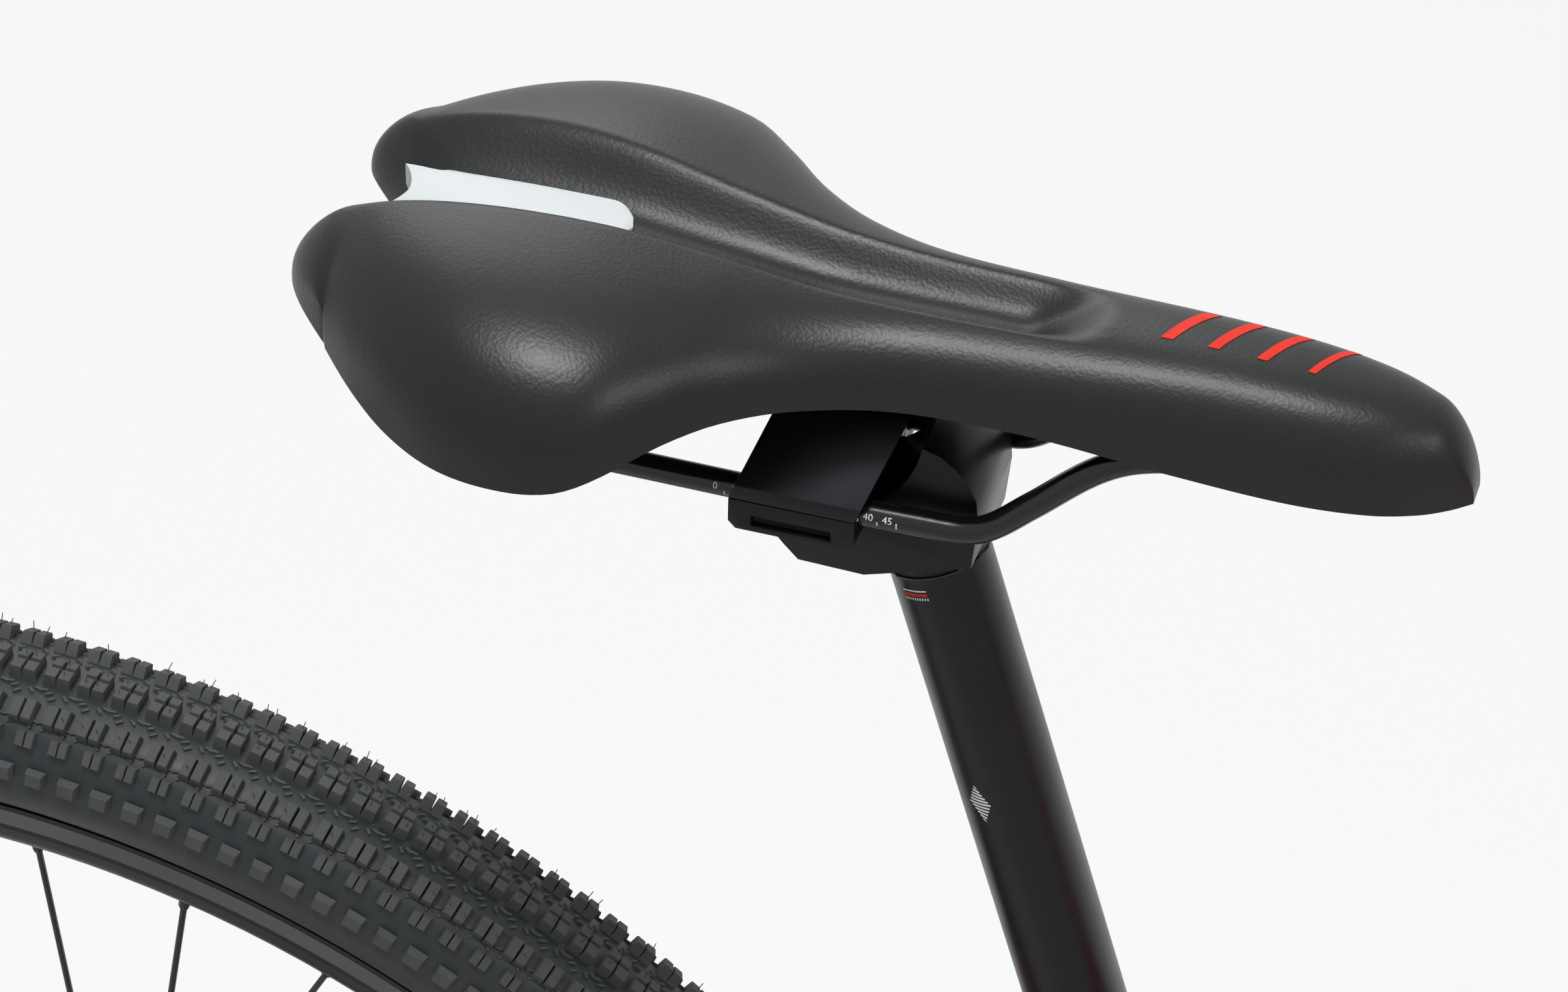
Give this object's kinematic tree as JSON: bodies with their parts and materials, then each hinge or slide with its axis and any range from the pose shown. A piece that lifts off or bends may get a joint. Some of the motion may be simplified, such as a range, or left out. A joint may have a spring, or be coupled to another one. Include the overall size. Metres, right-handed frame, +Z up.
{
  "type": "hardtail mountain bike",
  "caption": "Hardtail mountain bike with a sprung fork, disc brakes, twist shifter, derailleur gears and a saddle on clamped rails.",
  "frame": {"origin": "on the ground midway between the wheels' contact points, in the bicycle's middle plane", "axes": "+X forwards along the bicycle, +Y to the rider's left, +Z up"},
  "size_m": [1.778, 0.6922, 1.0103],
  "materials": {
    "frame_paint": "gloss black paint over welded alloy tube",
    "red_paint": "gloss red paint over welded alloy tube",
    "black_anodised": "black anodised alloy, satin",
    "dark_alloy": "dark anodised rim, satin",
    "steel": "bright steel",
    "tyre_rubber": "dark grey knobbed rubber, matt",
    "grip_rubber": "black soft rubber, matt",
    "black_plastic": "black moulded plastic",
    "saddle_cover": "black grained synthetic leather over foam",
    "pale_plate": "pale glossy plate",
    "black_steel": "gloss black rail wire"
  },
  "bodies": {
    "frame": {"head_tube": "frame_paint", "top_tube": "red_paint", "down_tube": "frame_paint", "seat_tube": "frame_paint", "bottom_bracket_shell": "frame_paint", "chainstay_left": "frame_paint", "chainstay_right": "frame_paint", "seatstay_left": "red_paint", "seatstay_right": "red_paint", "seat_collar": "black_anodised", "headset_upper": "black_anodised", "headset_lower": "black_anodised", "axle_rear": "steel", "caliper_rear": "black_anodised", "derailleur_knuckle": "black_anodised", "chain": "steel", "brake_hose_rear": "black_plastic", "shift_cable": "black_plastic"},
    "steering": {"fork_crown": "black_anodised", "stem": "black_anodised", "handlebar": "black_anodised", "grip_left": "grip_rubber", "grip_right": "grip_rubber", "brake_body_left": "black_anodised", "brake_body_right": "black_anodised", "shifter_body": "black_plastic", "brake_hose_front": "black_plastic"},
    "fork_slider": {"fork_lowers": "black_anodised", "axle_front": "steel", "caliper_front": "black_anodised"},
    "front_wheel": {"tyre_front": "tyre_rubber", "rim_front": "dark_alloy", "spoked_hub_front": "black_anodised", "rotor_front": "steel"},
    "rear_wheel": {"tyre_rear": "tyre_rubber", "rim_rear": "dark_alloy", "spoked_hub_rear": "black_anodised", "rotor_rear": "steel"},
    "sprockets": {"cassette": "steel"},
    "crankset": {"crank_right": "black_anodised", "crank_left": "black_anodised", "chainring": "black_anodised"},
    "right_pedal": {"pedal_right": "black_plastic"},
    "left_pedal": {"pedal_left": "black_plastic"},
    "link": {"derailleur_link": "black_anodised"},
    "moving_knuckle": {"derailleur_moving_knuckle": "black_anodised"},
    "cage": {"derailleur_cage": "black_anodised"},
    "upper_jockey": {"jockey_upper": "black_plastic"},
    "lower_jockey": {"jockey_lower": "black_plastic"},
    "left_lever": {"brake_lever_left": "black_anodised"},
    "right_lever": {"brake_lever_right": "black_anodised"},
    "shift_grip": {"twist_shifter": "grip_rubber"},
    "post": {"seatpost": "black_anodised"},
    "saddle_clamp": {"clamp_cradle": "black_anodised", "clamp_bridge": "black_anodised", "clamp_bolt": "steel"},
    "saddle": {"saddle_rails": "black_steel", "saddle_shell": "black_plastic", "saddle_pad": "saddle_cover", "saddle_plate": "pale_plate"}
  },
  "joints": [
    {"name": "steering", "type": "hinge", "parent": "frame", "child": "steering", "pos_m": [0.3394, 0, 0.78316], "axis": [-0.342, 0, 0.9397], "range_deg": [-65, 65], "deforming": ["brake_hose_rear", "shift_cable"]},
    {"name": "fork_travel", "type": "slide", "parent": "steering", "child": "fork_slider", "axis": [-0.342, 0, 0.9397], "range_m": [0, 0.1], "stiffness_N_per_m": 7000, "springref_m": -0.015, "deforming": ["brake_hose_front"]},
    {"name": "front_wheel_spin", "type": "hinge", "parent": "fork_slider", "child": "front_wheel", "pos_m": [0.545, 0, 0.344], "axis": [0, 1, 0], "continuous": true},
    {"name": "rear_wheel_spin", "type": "hinge", "parent": "frame", "child": "rear_wheel", "pos_m": [-0.545, 0, 0.344], "axis": [0, 1, 0], "continuous": true},
    {"name": "crank_spin", "type": "hinge", "parent": "frame", "child": "crankset", "pos_m": [-0.10602, 0, 0.314], "axis": [0, 1, 0], "continuous": true},
    {"name": "cassette_spin", "type": "hinge", "parent": "frame", "child": "sprockets", "pos_m": [-0.545, 0, 0.344], "axis": [0, 1, 0], "continuous": true},
    {"name": "pedal_right_spin", "type": "hinge", "parent": "crankset", "child": "right_pedal", "pos_m": [0.04805, 0, 0.24215], "axis": [0, 1, 0], "continuous": true},
    {"name": "pedal_left_spin", "type": "hinge", "parent": "crankset", "child": "left_pedal", "pos_m": [-0.26009, 0, 0.38585], "axis": [0, 1, 0], "continuous": true},
    {"name": "derailleur_swing", "type": "hinge", "parent": "frame", "child": "link", "pos_m": [-0.539, -0.083, 0.297], "axis": [1, 0, 0], "range_deg": [-23.2, 23.2], "deforming": ["chain"]},
    {"name": "derailleur_knuckle_turn", "type": "hinge", "parent": "link", "child": "moving_knuckle", "pos_m": [-0.539, -0.083, 0.259], "axis": [1, 0, 0], "range_deg": [-23.2, 23.2], "deforming": ["chain"]},
    {"name": "cage_pivot", "type": "hinge", "parent": "moving_knuckle", "child": "cage", "pos_m": [-0.533, -0.0467, 0.256], "axis": [0, -1, 0], "range_deg": [0, 35], "stiffness_Nm_per_rad": 0.4, "springref_deg": -34.38, "deforming": ["chain"]},
    {"name": "jockey_upper_spin", "type": "hinge", "parent": "cage", "child": "upper_jockey", "pos_m": [-0.533, -0.0467, 0.256], "axis": [0, 1, 0], "continuous": true},
    {"name": "jockey_lower_spin", "type": "hinge", "parent": "cage", "child": "lower_jockey", "pos_m": [-0.50891, -0.0467, 0.20434], "axis": [0, 1, 0], "continuous": true},
    {"name": "brake_lever_left", "type": "hinge", "parent": "steering", "child": "left_lever", "pos_m": [0.35958, 0.20026, 0.97709], "axis": [0.4132, 0.0654, 0.9083], "range_deg": [0, 18.5], "stiffness_Nm_per_rad": 0.5, "springref_deg": -14.32},
    {"name": "brake_lever_right", "type": "hinge", "parent": "steering", "child": "right_lever", "pos_m": [0.35958, -0.20026, 0.97709], "axis": [-0.4132, 0.0654, -0.9083], "range_deg": [0, 18.5], "stiffness_Nm_per_rad": 0.5, "springref_deg": -14.32},
    {"name": "shifter_twist", "type": "hinge", "parent": "steering", "child": "shift_grip", "pos_m": [0.32063, -0.24877, 0.99132], "axis": [-0.1564, -0.9877, 0], "range_deg": [-69, 69]},
    {"name": "seatpost_height", "type": "slide", "parent": "frame", "child": "post", "axis": [-0.3074, 0, 0.9516], "range_m": [-0.12, 0.07]},
    {"name": "saddle_tilt", "type": "hinge", "parent": "post", "child": "saddle_clamp", "pos_m": [-0.29101, 0, 0.8372], "axis": [0, 1, 0], "range_deg": [-12, 12]},
    {"name": "saddle_slide", "type": "slide", "parent": "saddle_clamp", "child": "saddle", "axis": [1, 0, 0], "range_m": [-0.02, 0.025]}
  ],
  "couplings": [
    {"joint": "cassette_spin", "follows": "crank_spin", "ratio": 1.7778},
    {"joint": "jockey_lower_spin", "follows": "crank_spin", "ratio": 2.9091},
    {"joint": "jockey_upper_spin", "follows": "crank_spin", "ratio": -2.9091},
    {"joint": "derailleur_swing", "follows": "shifter_twist", "ratio": 0.33333},
    {"joint": "derailleur_knuckle_turn", "follows": "shifter_twist", "ratio": -0.33333}
  ]
}
